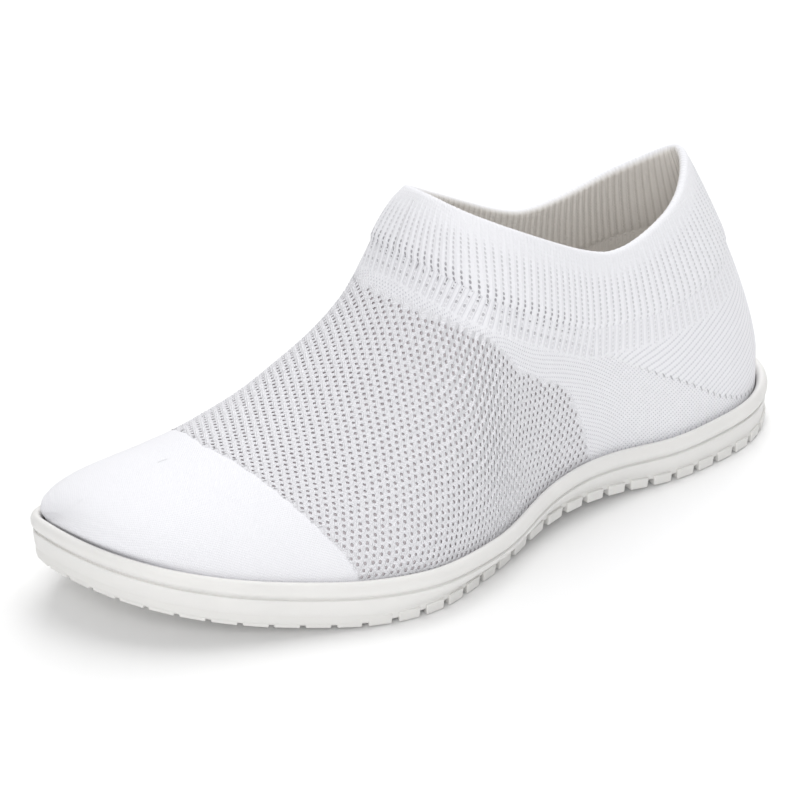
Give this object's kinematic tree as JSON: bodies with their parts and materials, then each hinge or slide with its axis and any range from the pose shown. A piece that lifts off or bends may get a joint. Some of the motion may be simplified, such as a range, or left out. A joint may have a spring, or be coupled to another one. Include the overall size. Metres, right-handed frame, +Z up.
{
  "type": "barefoot shoe",
  "caption": "Left low slip-on barefoot shoe: knitted sock upper with a mesh vamp and ribbed collar on a thin wide flexible sole with a bead and side lugs.",
  "frame": {"origin": "on the floor under the middle of the shoe's bounding box", "axes": "+X from heel to toe, +Y to the outer (lateral) side of this left shoe, +Z up"},
  "size_m": [0.2662, 0.103, 0.1071],
  "materials": {
    "knit": "matte knitted polyester",
    "foam": "satin moulded",
    "tread": "satin moulded",
    "liner": "matte woven"
  },
  "bodies": {
    "root": {"upper": "knit", "midsole": "foam", "outsole": "tread", "insole": "liner"}
  },
  "joints": []
}
